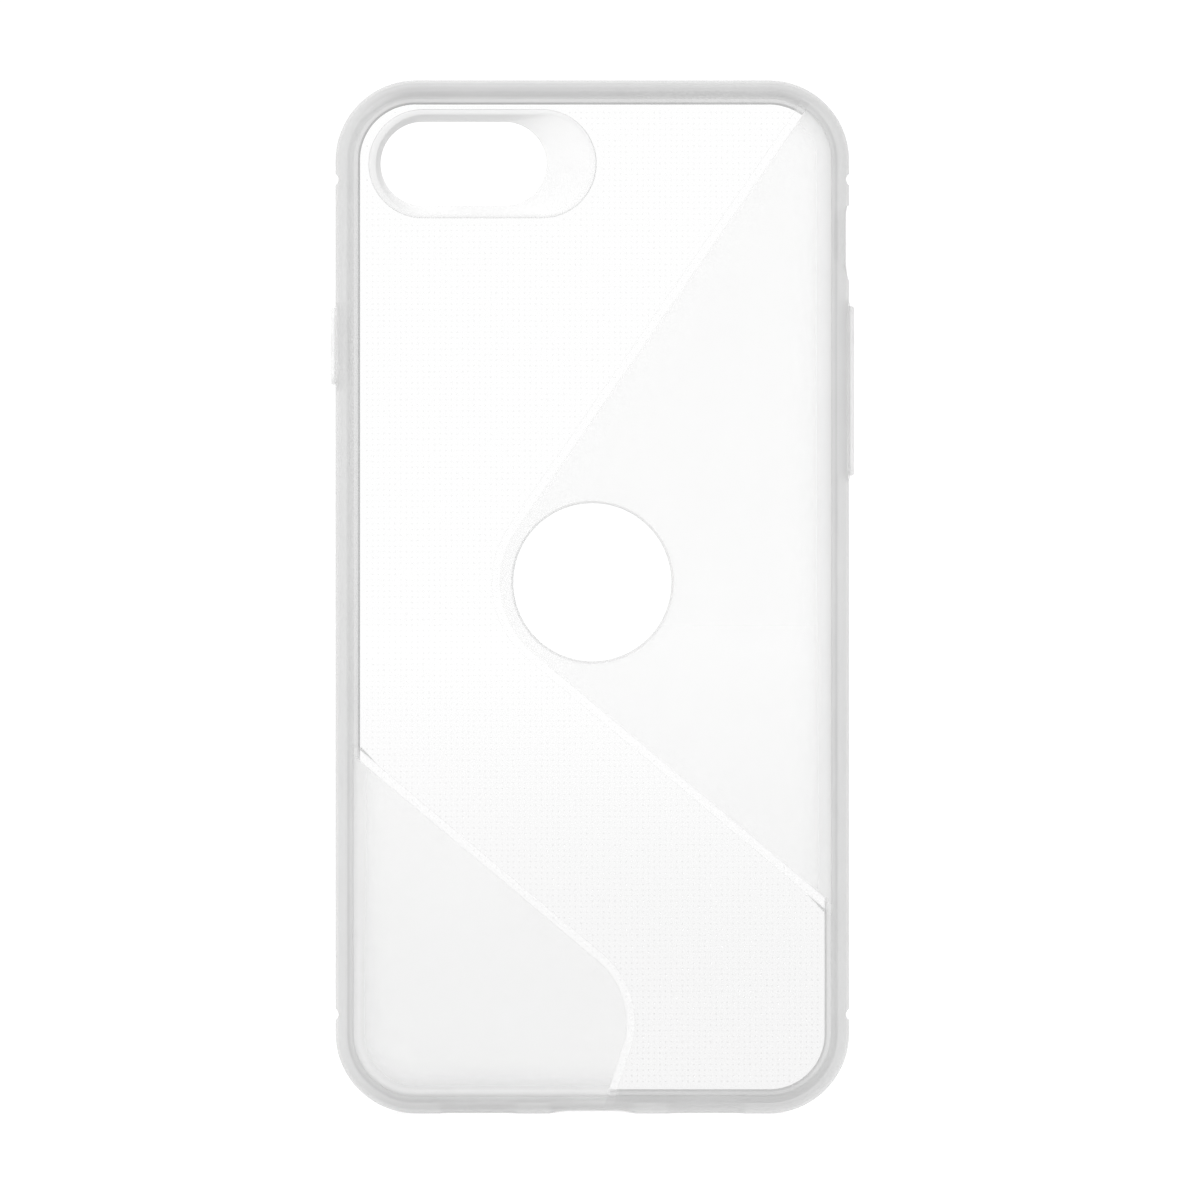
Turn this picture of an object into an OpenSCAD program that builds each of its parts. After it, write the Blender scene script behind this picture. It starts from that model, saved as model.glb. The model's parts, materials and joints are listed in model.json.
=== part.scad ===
// Soft translucent case for a 4.7 inch phone, with an S-shaped clear band between frosted zones.
// X runs across the width, Y through the thickness and Z up the height.
// The back of the case faces -Y and the open screen side faces +Y.
// The origin is the middle of the phone pocket, so a phone modelled about its own middle drops in.

/* [Phone] */
// Width of the phone that the pocket holds
phone_w = 67.3; // [66.5:0.1:68]
// Height of the phone
phone_h = 138.4; // [137:0.1:140]
// Thickness of the phone
phone_t = 7.3; // [7:0.1:7.6]

/* [Shell] */
// Thickness of the side wall at its thinnest
wall_t = 1.5; // [1.4:0.05:1.7]
// Thickness of the back where it is frosted
back_t = 1.2; // [1.1:0.05:1.4]
// How far the clear band lies below the frosted zones
band_step = 0.4; // [0.3:0.05:0.5]
// Height of the lip that stands above the screen
lip_t = 0.9; // [0.8:0.05:1.1]
// Radius of the outer corners, seen from the back
corner_r = 11; // [10:0.1:12]
// Radius of the shallow crown across the outside of the side wall
crown_r = 11; // [10:0.5:14]
// Width of the raised rim round the clear band, from the outer edge
rim_w = 3.4; // [3.2:0.05:3.8]
// Reach of the screen lip, from the outer edge
lip_reach = 2.45; // [2.3:0.05:2.7]

/* [Logo window] */
// Radius of the round window in the back
logo_r = 10.8; // [9:0.1:11.5]
// Height of the centre of the round window above the bottom edge
logo_z = 72.7; // [70:0.1:76]
// Width of the frosted ring beside the round window
logo_ring = 1.8; // [1.5:0.1:2.5]

/* [Clear band] */
// Slope of the band above the window, in degrees from level
upper_slope = 55.4; // [52:0.1:58]
// Slope of the band below the window, in degrees from level
lower_slope = 40; // [38:0.5:42]
// Radius of the bend at the foot of the band
foot_r = 10.9; // [9:0.1:12]
// Centre of the bend at the foot of the band, across the width
foot_x = -6.2; // [-8:0.1:-5]
// Centre of the bend at the foot of the band, above the bottom edge
foot_z = 12.6; // [12:0.1:15]
// Lean of the last stretch of the band, in degrees from upright
foot_lean = 18; // [14:1:22]
// Width of the polished bevel along the frosted zones
bevel_w = 1.2; // [0.8:0.1:1.5]

/* [Camera opening] */
// Width of the camera surround
surround_w = 31.2; // [30:0.1:32]
// Height of the camera surround
surround_h = 14.9; // [14.5:0.1:15]
// Centre of the camera surround, across the width
surround_x = -15; // [-15.2:0.1:-14]
// Distance from the top edge to the centre of the camera surround
surround_down = 11.5; // [11.3:0.1:12]
// Width of the camera window
window_w = 22.8; // [22:0.1:23.5]
// Height of the camera window
window_h = 11.6; // [11:0.1:12]
// Centre of the camera window, across the width
window_x = -17.6; // [-17.7:0.1:-17]

/* [Buttons] */
// Length of the power button cover
power_len = 10.5; // [9:0.1:12]
// Distance from the top edge to the centre of the power button cover
power_down = 36.4; // [36:0.1:38]
// Length of the volume button cover
volume_len = 23.2; // [22:0.1:24]
// Distance from the top edge to the centre of the volume button cover
volume_down = 42.5; // [42:0.1:44]
// Height of both covers, through the thickness of the case
cover_h = 3.4; // [3:0.1:3.6]
// How far the covers stand out of the side wall
cover_proud = 0.68; // [0.5:0.02:0.8]
// Width of the thin web round each cover
web_w = 0.8; // [0.6:0.05:1]
// Thickness of the thin web
web_t = 0.5; // [0.4:0.05:0.6]
// Depth of the engraved marks on the covers
mark_depth = 0.25; // [0.15:0.05:0.3]

/* [Side and bottom openings] */
// Length of the ring switch slot
switch_len = 8.5; // [8:0.1:10]
// Width of the ring switch slot
switch_h = 6; // [5.5:0.1:6]
// Distance from the top edge to the centre of the ring switch slot
switch_down = 21.5; // [21:0.1:22.5]
// Length of the ramp below the ring switch slot
switch_ramp = 1.6; // [1:0.1:2]
// Width of the charging port slot
port_w = 11.6; // [11:0.1:12]
// Height of the charging port slot
port_h = 5.5; // [5.2:0.1:5.6]
// Length of the speaker and microphone slots
sound_len = 10.5; // [9:0.1:11]
// Height of the speaker and microphone slots
sound_h = 2.6; // [2:0.1:3]
// Distance from the centre line to the middle of a speaker slot
sound_x = 15.6; // [15.3:0.1:16]
// Distance from each end of the case to the nearer pair of side grooves
groove_end = 13.6; // [13:0.1:14.5]
// Width of a side groove
groove_w = 1.6; // [1:0.1:2]
// Depth of a side groove
groove_d = 0.45; // [0.3:0.05:0.5]

/* [Hidden] */
$fn = 96;

// Outer size
case_w = phone_w + 2 * wall_t;
case_h = phone_h + 2 * wall_t;
case_d = back_t + phone_t + lip_t; // thickness
floor_y = -phone_t / 2;
back_y = floor_y - back_t;
screen_y = phone_t / 2;
front_y = screen_y + lip_t;
band_y = back_y + band_step;
plate_t = back_t - band_step;

// Roundings of the wall section
back_r = 2.6;
front_r = 1;
lip_r = 0.35;
lip_under_r = 1.3;
pocket_r = rim_w - wall_t;

// Heights of the features
surround_z = case_h - surround_down;
power_z = case_h - power_down;
volume_z = case_h - volume_down;
switch_z = case_h - switch_down;

// Small allowances
run = 0.05;
past = 3;
reach = 120;
cover_back = 0.5;
bevel_foot = 0.05;
bend_steps = 40;

// Colours, as linear shades of translucent white
frame_shade = [0.85, 0.85, 0.84, 0.8];
clear_shade = [0.97, 0.97, 0.97, 0.35];
frost_shade = [0.93, 0.93, 0.93, 0.7];
cover_shade = [0.9, 0.9, 0.89, 0.8];

// Points along an arc, in steps from angle a0 to angle a1
function arc(centre, r, a0, a1, steps) =
    [for (i = [0:steps]) centre + r * unit(a0 + (a1 - a0) * i / steps)];
function unit(a) = [cos(a), sin(a)];
function all_but_last(list) = [for (i = [0:len(list) - 2]) list[i]];
function reversed(list) = [for (i = [len(list) - 1:-1:0]) list[i]];

// Centre of an edge rounding that touches both the crown and a face at height y
function edge_centre(y, r) =
    let (dy = sign(y) * (abs(y) - r))
    [crown_r - sqrt(pow(crown_r - r, 2) - dy * dy), dy];
function crown_angle(c) = (atan2(c[1], c[0] - crown_r) + 360) % 360;

// Section of the rim as [distance in from the outer edge, y]
front_c = edge_centre(front_y, front_r);
back_c = edge_centre(back_y, back_r);
crown_c = [crown_r, 0];
under_c = [wall_t + lip_under_r, screen_y - lip_under_r];
under_end = acos((lip_reach - under_c[0]) / lip_under_r);
crown_points = arc(crown_c, crown_r, crown_angle(front_c), crown_angle(back_c), 12);
section = concat(
    arc([lip_reach - lip_r, front_y - lip_r], lip_r, 0, 90, 4),
    all_but_last(arc(front_c, front_r, 90, crown_angle(front_c), 5)),
    all_but_last(crown_points),
    arc(back_c, back_r, crown_angle(back_c), 270, 8),
    [[rim_w, back_y]],
    arc([rim_w, floor_y + pocket_r], pocket_r, 270, 180, 6),
    arc(under_c, lip_under_r, 180, under_end, 5)
);

// Heights below are measured from the bottom edge: this puts the middle of the pocket at z = 0
module about_pocket() {
    translate([0, 0, -case_h / 2])
        children();
}

// A flat slot shape with round ends
module stadium(length, height) {
    square([length - height, height], center = true);
    for (s = [-1, 1])
        translate([s * (length - height) / 2, 0])
            circle(d = height);
}

// A rectangle with round corners, as tall as it is told to be, standing on y = low
module round_rect(w, low, high, r) {
    translate([-w / 2 + r, low])
        square([w - 2 * r, high - low]);
    translate([-w / 2, low + r])
        square([w, high - low - 2 * r]);
    for (x = [-w / 2 + r, w / 2 - r], y = [low + r, high - r])
        translate([x, y])
            circle(r);
}

// Outline of the whole back inside the raised rim, seen from behind
module panel_outline() {
    round_rect(case_w - 2 * rim_w, rim_w, case_h - rim_w, corner_r - rim_w);
}

// Stands a flat shape up against the clear band: local Z points out of the back
module on_back() {
    translate([0, band_y, 0])
        rotate([90, 0, 0])
            children();
}

// A slot through a side wall, with its long side upright
module side_slot(x0, x1, z, length, height) {
    translate([x0, 0, z])
        rotate([0, 90, 0])
            linear_extrude(x1 - x0)
                stadium(length, height);
}

// ---- Bumper frame ----

module rim_straight(length) {
    linear_extrude(length)
        polygon([for (p = section) [corner_r - p[0], p[1]]]);
}

module rim_corner() {
    rotate([-90, 0, 0])
        rotate_extrude(angle = 90)
            polygon([for (p = section) [corner_r - p[0], p[1]]]);
}

module rim() {
    cx = case_w / 2 - corner_r;
    side = case_h - 2 * corner_r;
    translate([cx, 0, corner_r])
        rim_straight(side);
    translate([-cx, 0, corner_r])
        mirror([1, 0, 0])
            rim_straight(side);
    translate([cx, 0, case_h - corner_r])
        rotate([0, -90, 0])
            rim_straight(2 * cx);
    translate([-cx, 0, corner_r])
        rotate([0, 90, 0])
            rim_straight(2 * cx);
    for (turn = [0:3]) {
        right = turn < 2;
        upper = turn == 1 || turn == 2;
        translate([right ? cx : -cx, 0, upper ? case_h - corner_r : corner_r])
            rotate([0, -90 * turn, 0])
                rim_corner();
    }
}

module button_window(side, z, length) {
    x = case_w / 2;
    side_slot(
        side > 0 ? x - past : -x - past,
        side > 0 ? x + past : -x + past,
        z,
        length + 2 * web_w,
        cover_h + 2 * web_w
    );
}

// Slot for the ring switch, with a ramp at its lower end
module switch_slot() {
    x = case_w / 2;
    side_slot(x - past, x + past, switch_z, switch_len, switch_h);
    ramp_low = switch_z - switch_len / 2 - switch_ramp;
    intersection() {
        translate([0, -switch_h / 2, 0])
            rotate([-90, 0, 0])
                linear_extrude(switch_h)
                    polygon([
                        [x + past, -switch_z],
                        [x - wall_t / 2, -switch_z],
                        [x - wall_t / 2, -(switch_z - switch_len / 2 + 1)],
                        [x, -ramp_low],
                        [x + past, -ramp_low + past]
                    ]);
        side_slot(x - past, x + past, switch_z - switch_ramp, switch_len + switch_ramp, switch_h);
    }
}

module bottom_slots() {
    translate([0, 0, -1])
        linear_extrude(rim_w + 1)
            stadium(port_w, port_h);
    for (s = [-1, 1])
        translate([s * sound_x, 0, -1])
            linear_extrude(rim_w + 1)
                stadium(sound_len, sound_h);
}

module side_grooves() {
    r = (groove_w * groove_w / 4 + groove_d * groove_d) / (2 * groove_d);
    for (s = [-1, 1], z = [groove_end, case_h - groove_end])
        translate([s * (case_w / 2 - groove_d + r), 0, z])
            rotate([90, 0, 0])
                cylinder(h = 2 * case_d, r = r, center = true);
}

module bumper_frame() {
    color(frame_shade) about_pocket()
        difference() {
            rim();
            button_window(-1, power_z, power_len);
            button_window(1, volume_z, volume_len);
            switch_slot();
            bottom_slots();
            side_grooves();
        }
}

// ---- Back ----

module logo_hole() {
    translate([0, logo_z, -back_t])
        cylinder(h = 2 * back_t, r = logo_r);
}

module surround_outline() {
    translate([surround_x, surround_z])
        stadium(surround_w, surround_h);
}

module back_plate() {
    color(clear_shade) about_pocket()
        on_back()
            difference() {
                translate([0, 0, -plate_t])
                    linear_extrude(plate_t)
                        difference() {
                            panel_outline();
                            surround_outline();
                        }
                logo_hole();
            }
}

// Outline of a frosted zone before it is cut to the rim: a straight run, a bend and a straight run
module zone_outline(centre, r, a0, a1, far_corner) {
    bend = arc(centre, r, a0, a1, bend_steps);
    run_out = centre + r * unit(a1) + reach * unit(a1 + 90);
    run_in = centre + r * unit(a0) + reach * unit(a0 - 90);
    polygon(concat(bend, [run_out], far_corner, [run_in]));
}

// A frosted zone with its polished bevel. Both zones are convex, so a hull slopes the whole edge.
module frosted_zone(centre, r, a0, a1, far_corner = []) {
    intersection() {
        translate([0, 0, -past])
            linear_extrude(2 * past)
                panel_outline();
        hull() {
            linear_extrude(bevel_foot)
                zone_outline(centre, r + bevel_w, a0, a1, far_corner);
            linear_extrude(band_step)
                zone_outline(centre, r, a0, a1, far_corner);
        }
    }
}

module frosted_main_panel() {
    color(frost_shade) about_pocket()
        on_back()
            difference() {
                frosted_zone([0, logo_z], logo_r + logo_ring, 90 + upper_slope, 270 - lower_slope);
                logo_hole();
            }
}

module frosted_corner_panel() {
    color(frost_shade) about_pocket()
        on_back()
            frosted_zone([foot_x, foot_z], foot_r, -foot_lean, 90 - lower_slope, [[-reach, -reach]]);
}

// Ramp of the camera surround: from the top of its bead down to the edge of the window
ramp_inset = [0.9, 0.15, 0.35, 0.6]; // left, right, bottom, top
ramp_foot = -0.35;

module camera_ramp() {
    left = ramp_inset[0];
    right = ramp_inset[1];
    low = ramp_inset[2];
    high = ramp_inset[3];
    hull() {
        translate([surround_x + (left - right) / 2, surround_z + (low - high) / 2, band_step])
            linear_extrude(0.1)
                stadium(surround_w - left - right, surround_h - low - high, $fn = 48);
        translate([window_x, surround_z, ramp_foot])
            linear_extrude(0.01)
                stadium(window_w, window_h, $fn = 48);
    }
}

module camera_surround() {
    color(frost_shade) about_pocket()
        on_back()
            difference() {
                translate([0, 0, -plate_t])
                    linear_extrude(back_t)
                        surround_outline();
                camera_ramp();
                translate([window_x, surround_z, -2 * back_t])
                    linear_extrude(3 * back_t)
                        stadium(window_w, window_h);
            }
}

// ---- Buttons ----

// Places a button at a side wall: local X points out of the wall, from its outer face
module at_wall(side, z) {
    translate([side * case_w / 2, 0, z])
        rotate([0, 0, side > 0 ? 0 : 180])
            children();
}

module cover_body(length) {
    translate([-wall_t + cover_back, 0, 0])
        rotate([0, 90, 0])
            linear_extrude(wall_t - cover_back + cover_proud)
                stadium(length, cover_h);
}

// A shallow engraving cut from the outer face, drawn with its up direction as local Z
module mark(z) {
    translate([cover_proud - mark_depth, 0, z])
        rotate([90, 0, 90])
            linear_extrude(1)
                children();
}

mark_size = 1.7;
mark_line = 0.4;

module minus_sign() {
    square([mark_size, mark_line], center = true);
}

module plus_sign() {
    minus_sign();
    square([mark_line, mark_size], center = true);
}

module power_sign() {
    difference() {
        circle(d = 2.1);
        circle(d = 2.1 - 2 * mark_line);
        translate([0, 1])
            square([1, 1.2], center = true);
    }
    translate([0, 0.75])
        square([mark_line, 1.1], center = true);
}

module power_button_cover() {
    color(cover_shade) about_pocket()
        at_wall(-1, power_z)
            difference() {
                cover_body(power_len);
                mark(0)
                    power_sign();
            }
}

// The marks lie a fixed way in from the ends of the volume cover
mark_in = 4.2;

module volume_button_cover() {
    at = volume_len / 2 - mark_in;
    color(cover_shade) about_pocket()
        at_wall(1, volume_z)
            difference() {
                cover_body(volume_len);
                mark(at)
                    plus_sign();
                mark(-at)
                    minus_sign();
            }
}

// Thin skin that closes the wall round a cover and flexes when it is pressed
module button_web(side, z, length) {
    gap = 2 * run;
    skin = concat(
        [for (p = crown_points) [case_w / 2 - p[0], p[1]]],
        [for (p = reversed(crown_points)) [case_w / 2 - p[0] - web_t, p[1]]]
    );
    color(cover_shade) about_pocket()
        difference() {
            intersection() {
                scale([side, 1, 1])
                    translate([0, 0, z - length])
                        linear_extrude(2 * length)
                            polygon(skin);
                button_window(side, z, length);
            }
            translate([side > 0 ? 0 : -case_w, 0, z])
                rotate([0, 90, 0])
                    linear_extrude(case_w)
                        stadium(length + gap, cover_h + gap);
        }
}

module power_button_web() {
    button_web(-1, power_z, power_len);
}

module volume_button_web() {
    button_web(1, volume_z, volume_len);
}

bumper_frame();
back_plate();
frosted_main_panel();
frosted_corner_panel();
camera_surround();
power_button_cover();
power_button_web();
volume_button_cover();
volume_button_web();
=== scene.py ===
"""Looks of a soft translucent phone case with an S-shaped clear band between frosted zones.

Lengths in this file are millimetres in the row frame until mesh_object() turns them into metres.
"""

import bmesh
import bpy
import json
import math
import random
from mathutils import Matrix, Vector


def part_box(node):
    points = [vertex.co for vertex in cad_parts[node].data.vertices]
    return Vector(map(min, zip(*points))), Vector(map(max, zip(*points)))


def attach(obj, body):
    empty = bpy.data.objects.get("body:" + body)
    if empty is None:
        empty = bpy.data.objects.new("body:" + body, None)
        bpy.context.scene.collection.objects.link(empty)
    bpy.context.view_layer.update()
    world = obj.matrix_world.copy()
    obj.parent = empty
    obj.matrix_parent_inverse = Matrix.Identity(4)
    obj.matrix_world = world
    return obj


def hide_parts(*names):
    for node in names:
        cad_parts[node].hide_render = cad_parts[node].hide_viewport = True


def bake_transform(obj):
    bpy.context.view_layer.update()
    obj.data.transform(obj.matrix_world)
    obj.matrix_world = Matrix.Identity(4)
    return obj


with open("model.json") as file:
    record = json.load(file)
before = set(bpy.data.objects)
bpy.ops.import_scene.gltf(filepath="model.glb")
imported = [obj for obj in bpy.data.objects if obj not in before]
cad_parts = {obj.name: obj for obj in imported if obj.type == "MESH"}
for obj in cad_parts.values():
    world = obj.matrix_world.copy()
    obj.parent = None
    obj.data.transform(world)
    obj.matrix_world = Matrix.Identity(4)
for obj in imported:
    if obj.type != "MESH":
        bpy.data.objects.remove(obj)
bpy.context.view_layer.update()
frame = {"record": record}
record = frame["record"]

MM = 0.001
SHELL = "shell"


def box_mm(node):
    low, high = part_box(node)
    return Vector(low) / MM, Vector(high) / MM


def mount(name):
    return next(m for m in record["mounts"] if m["name"] == name)


# ---- Sizes, read from the frame ----

FRAME_LOW, FRAME_HIGH = box_mm("bumper_frame")
PLATE_LOW, PLATE_HIGH = box_mm("back_plate")
SURROUND_LOW, SURROUND_HIGH = box_mm("camera_surround")
HALF_W = FRAME_HIGH.x
HALF_H = FRAME_HIGH.z
BACK_Y = FRAME_LOW.y
FRONT_Y = FRAME_HIGH.y
BAND_Y = PLATE_LOW.y
FLOOR_Y = PLATE_HIGH.y
RIM_W = HALF_W - PLATE_HIGH.x
CORNER_R = 11.0
LOGO = mount("logo_window")
LOGO_X = LOGO["pos_m"][0] / MM
LOGO_Z = LOGO["pos_m"][2] / MM
LOGO_R = LOGO["dims"]["r_mm"]

# Section of the side wall
WALL_T = 1.5
LIP_T = 0.9
LIP_REACH = 2.45
LIP_UNDER_R = 1.3
SCREEN_Y = FRONT_Y - LIP_T
CROWN_R = 11.0
BACK_R = 2.6
FRONT_R = 1.0
LIP_R = 0.35
POCKET_R = RIM_W - WALL_T

# Frosted zones as (centre x, centre z, bend radius, first angle, last angle)
MAIN_ZONE = (LOGO_X, LOGO_Z, LOGO_R + 1.8, 145.4, 230.0)
CORNER_ZONE = (-6.2, 12.6 - HALF_H, 10.9, -18.0, 50.0)
# Width of the clear bevel along a frosted zone
BEVEL_W = 1.2
# Distance from the outer edge to the foot of the rim's ledge
LEDGE_D = 2.45
# A length that reaches past the case from anywhere on it
FAR = 160.0
# Clearance between pieces that would touch
GAP = 0.01
# Width of the rounded lip round the logo window
LOGO_LIP = 0.32
# Depth of the engraved marks on the buttons
MARK_DEPTH = 0.25

# Openings in the walls
SWITCH_SIZE = (8.5, 6.0)
SWITCH_RAMP = 1.6
PORT_SIZE = (11.6, 5.5)
SOUND_SIZE = (10.5, 2.6)
SOUND_X = 15.6
GROOVE_Z = HALF_H - 13.6


# ---- Small geometry helpers ----


def unit(degrees):
    a = math.radians(degrees)
    return math.cos(a), math.sin(a)


def smoothstep(low, high, x):
    t = min(1.0, max(0.0, (x - low) / (high - low)))
    return t * t * (3.0 - 2.0 * t)


def arc(cx, cy, r, a0, a1, steps):
    points = []
    for i in range(steps + 1):
        ux, uy = unit(a0 + (a1 - a0) * i / steps)
        points.append((cx + r * ux, cy + r * uy))
    return points


def stadium(cx, cz, length, height, steps=24, along=8, upright=False):
    """Points round a slot shape. Every slot has the same count, so two of them can be lofted."""
    half, r = (length - height) / 2, height / 2
    points = arc(half, 0, r, -90, 90, steps)
    points += [(half - 2 * half * i / along, r) for i in range(1, along)]
    points += arc(-half, 0, r, 90, 270, steps)
    points += [(-half + 2 * half * i / along, -r) for i in range(1, along)]
    if upright:
        points = [(-v, u) for u, v in points]
    return [(cx + u, cz + v) for u, v in points]


def rounded_rect(half_w, half_h, r, steps=24):
    points = []
    for quarter, (sx, sz) in enumerate(((1, 1), (-1, 1), (-1, -1), (1, -1))):
        start = 90 * quarter
        points += arc(sx * (half_w - r), sz * (half_h - r), r, start, start + 90, steps)
    return points


def zone_distance(x, z, zone):
    """How far a point of the back lies outside a frosted zone: negative inside it."""
    cx, cz, r, a0, a1 = zone
    vx, vz = x - cx, z - cz
    turned = (math.degrees(math.atan2(vz, vx)) - a0) % 360
    if turned <= a1 - a0:
        return math.hypot(vx, vz) - r
    u0, u1 = unit(a0), unit(a1)
    return max(vx * u0[0] + vz * u0[1], vx * u1[0] + vz * u1[1]) - r


def band_distance(x, z):
    """How far a point lies inside the clear band, from the nearer frosted zone."""
    return min(zone_distance(x, z, MAIN_ZONE), zone_distance(x, z, CORNER_ZONE))


# ---- Mesh helpers ----


def mesh_object(name, verts, faces):
    mesh = bpy.data.meshes.new(name)
    mesh.from_pydata([(x * MM, y * MM, z * MM) for x, y, z in verts], [], faces)
    obj = bpy.data.objects.new(name, mesh)
    bpy.context.scene.collection.objects.link(obj)
    bm = bmesh.new()
    bm.from_mesh(mesh)
    bmesh.ops.recalc_face_normals(bm, faces=bm.faces)
    bm.to_mesh(mesh)
    bm.free()
    return obj


def loft(name, rings, wrap=False):
    """Skins a stack of equal rings of points. It is closed by caps, or on itself with wrap."""
    n, count = len(rings[0]), len(rings)
    verts = [p for ring in rings for p in ring]
    faces = []
    for i in range(count if wrap else count - 1):
        j = (i + 1) % count
        for k in range(n):
            m = (k + 1) % n
            faces.append((i * n + k, i * n + m, j * n + m, j * n + k))
    if not wrap:
        faces.append(tuple(range(n)))
        faces.append(tuple((count - 1) * n + k for k in range(n)))
    return mesh_object(name, verts, faces)


def on_back(points, y):
    return [(x, y, z) for x, z in points]


def on_side(points, x):
    return [(x, y, z) for y, z in points]


def prism(name, outline, y0, y1):
    return loft(name, [on_back(outline, y0), on_back(outline, y1)])


def cut(obj, cutters, operation="DIFFERENCE"):
    """Applies one boolean for each cutter and removes the cutters."""
    for cutter in cutters:
        modifier = obj.modifiers.new("cut", "BOOLEAN")
        modifier.operation = operation
        modifier.solver = "EXACT"
        modifier.object = cutter
    bpy.context.view_layer.update()
    graph = bpy.context.evaluated_depsgraph_get()
    mesh = bpy.data.meshes.new_from_object(obj.evaluated_get(graph))
    obj.modifiers.clear()
    old = obj.data
    obj.data = mesh
    bpy.data.meshes.remove(old)
    for cutter in cutters:
        bpy.data.objects.remove(cutter)
    return obj


def shade(obj, degrees=35):
    obj.data.polygons.foreach_set("use_smooth", [True] * len(obj.data.polygons))
    obj.data.set_sharp_from_angle(angle=math.radians(degrees))
    obj.data.update()
    return obj


def paint(obj, name, value_at):
    """Stores value_at(x, y, z), in millimetres, on every vertex."""
    layer = obj.data.attributes.new(name, "FLOAT", "POINT")
    layer.data.foreach_set("value", [value_at(*(v.co / MM)) for v in obj.data.vertices])


def table(points, x):
    """Straight-line reading of a table of (x, value)."""
    for (x0, v0), (x1, v1) in zip(points, points[1:]):
        if x <= x1:
            return v0 + (v1 - v0) * max(0.0, x - x0) / (x1 - x0)
    return points[-1][1]


def edge_distance(x, z):
    """How far a point lies inside the outer edge of the case."""
    qx, qz = abs(x) - (HALF_W - CORNER_R), abs(z) - (HALF_H - CORNER_R)
    outside = math.hypot(max(qx, 0.0), max(qz, 0.0))
    return CORNER_R - outside - min(max(qx, qz), 0.0)


def finish_piece(obj, materials, body=SHELL, nodes=(), angle=35):
    """Gives a piece its materials, shading and body, and hides the CAD nodes it stands for."""
    obj.data.materials.clear()
    for material in materials:
        obj.data.materials.append(material)
    shade(obj, angle)
    if body:
        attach(obj, body)
    if nodes:
        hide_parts(*nodes)
    return obj


# ---- Materials ----

# Index of refraction of the clear pieces
PLASTIC_IOR = 1.45


def grey(value):
    return (value, value, value, 1.0)


def blank_material(name):
    material = bpy.data.materials.new(name)
    material.use_nodes = True
    nodes, links = material.node_tree.nodes, material.node_tree.links
    nodes.clear()
    return material, nodes, links


def object_noise(nodes, links, scale, detail=3.0):
    coords = nodes.new("ShaderNodeTexCoord")
    noise = nodes.new("ShaderNodeTexNoise")
    noise.inputs["Scale"].default_value = scale
    noise.inputs["Detail"].default_value = detail
    links.new(coords.outputs["Object"], noise.inputs["Vector"])
    return noise


def grain(nodes, links, scale, depth_mm):
    """A fine surface grain, as a bump of that depth."""
    noise = object_noise(nodes, links, scale)
    bump = nodes.new("ShaderNodeBump")
    bump.inputs["Strength"].default_value = 1.0
    bump.inputs["Distance"].default_value = depth_mm * MM
    links.new(noise.outputs["Fac"], bump.inputs["Height"])
    return bump


def two_tone(nodes, links, scale, low, high):
    """A colour that drifts slowly between two greys."""
    noise = object_noise(nodes, links, scale, 2.0)
    ramp = nodes.new("ShaderNodeMapRange")
    ramp.inputs["From Min"].default_value = 0.3
    ramp.inputs["From Max"].default_value = 0.7
    mix = nodes.new("ShaderNodeMix")
    mix.data_type = "RGBA"
    mix.inputs["A"].default_value = grey(low)
    mix.inputs["B"].default_value = grey(high)
    links.new(noise.outputs["Fac"], ramp.inputs["Value"])
    links.new(ramp.outputs["Result"], mix.inputs["Factor"])
    return mix.outputs["Result"]


def painted(nodes, links, colour, opacity):
    """Scales a colour by the painted tone, which carries painted light and shade, and an opacity by the
    painted cover.
    """
    tone = nodes.new("ShaderNodeAttribute")
    tone.attribute_name = "paint_tone_and_shade"
    shaded = nodes.new("ShaderNodeVectorMath")
    shaded.operation = "SCALE"
    links.new(colour, shaded.inputs[0])
    links.new(tone.outputs["Fac"], shaded.inputs["Scale"])
    cover = nodes.new("ShaderNodeAttribute")
    cover.attribute_name = "paint_cover"
    amount = nodes.new("ShaderNodeMath")
    amount.operation = "MULTIPLY"
    amount.use_clamp = True
    amount.inputs[1].default_value = opacity
    links.new(cover.outputs["Fac"], amount.inputs[0])
    return shaded.outputs[0], amount.outputs[0]


def milky(name, low, high, opacity, roughness, grain_of, through=0.35):
    """Translucent plastic: part of the light passes straight, part is scattered.

    low and high are the greys it drifts between, and through is the share scattered forwards.
    """
    material, nodes, links = blank_material(name)
    colour = two_tone(nodes, links, 90.0, low, high)
    colour, amount = painted(nodes, links, colour, opacity)
    bump = grain(nodes, links, *grain_of)
    skin = nodes.new("ShaderNodeBsdfPrincipled")
    skin.inputs["Roughness"].default_value = roughness
    skin.inputs["IOR"].default_value = 1.49
    links.new(colour, skin.inputs["Base Color"])
    links.new(bump.outputs["Normal"], skin.inputs["Normal"])
    lit_through = nodes.new("ShaderNodeBsdfTranslucent")
    links.new(colour, lit_through.inputs["Color"])
    scatter = nodes.new("ShaderNodeMixShader")
    scatter.inputs["Fac"].default_value = through
    links.new(skin.outputs[0], scatter.inputs[1])
    links.new(lit_through.outputs[0], scatter.inputs[2])
    clear = nodes.new("ShaderNodeBsdfTransparent")
    out = nodes.new("ShaderNodeOutputMaterial")
    surface = mixed(nodes, links, amount, clear.outputs[0], scatter.outputs[0])
    links.new(surface, out.inputs["Surface"])
    return material


def haze_and_shade_down(nodes, links, top, bottom):
    """A haze that grows from the middle of the back to its lower edge: the plastic's own faint haze,
    with painted shade that greys the back towards the bottom.
    """
    coords = nodes.new("ShaderNodeTexCoord")
    split = nodes.new("ShaderNodeSeparateXYZ")
    links.new(coords.outputs["Object"], split.inputs[0])
    haze = nodes.new("ShaderNodeMapRange")
    haze.inputs["From Min"].default_value = -0.1 * HALF_H * MM
    haze.inputs["From Max"].default_value = -HALF_H * MM
    haze.inputs["To Min"].default_value = top
    haze.inputs["To Max"].default_value = bottom
    links.new(split.outputs["Z"], haze.inputs["Value"])
    return haze.outputs["Result"]


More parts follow.
